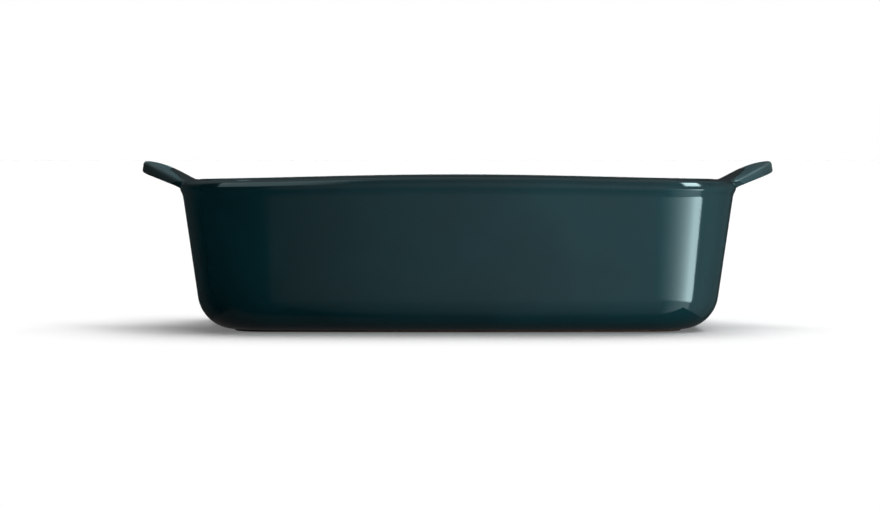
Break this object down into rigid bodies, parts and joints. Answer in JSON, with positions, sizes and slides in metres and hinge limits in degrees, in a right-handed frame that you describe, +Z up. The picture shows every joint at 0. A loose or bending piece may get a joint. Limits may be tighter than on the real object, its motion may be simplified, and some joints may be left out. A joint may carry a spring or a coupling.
{
  "type": "baking dish",
  "caption": "Open rectangular baking dish in glossy dark teal glazed stoneware, with leaning walls, rounded corners, a beaded rim and an upswept lug handle at each short end.",
  "frame": {"origin": "on the table under the middle of the dish, on the plane of the foot ring", "axes": "+X along the length towards one handle, +Y across to the back long side, +Z up out of the dish"},
  "size_m": [0.298, 0.19, 0.0779],
  "materials": {
    "glaze": "glossy dark teal glaze, thinner and browner on edges",
    "clay": "bare buff stoneware, dry and slightly grainy"
  },
  "bodies": {
    "root": {"clay_basin": "clay", "right_handle_core": "clay", "left_handle_core": "clay", "outer_glaze": "glaze", "inner_glaze": "glaze", "underside_glaze": "glaze", "right_handle_glaze": "glaze", "left_handle_glaze": "glaze"}
  },
  "joints": []
}
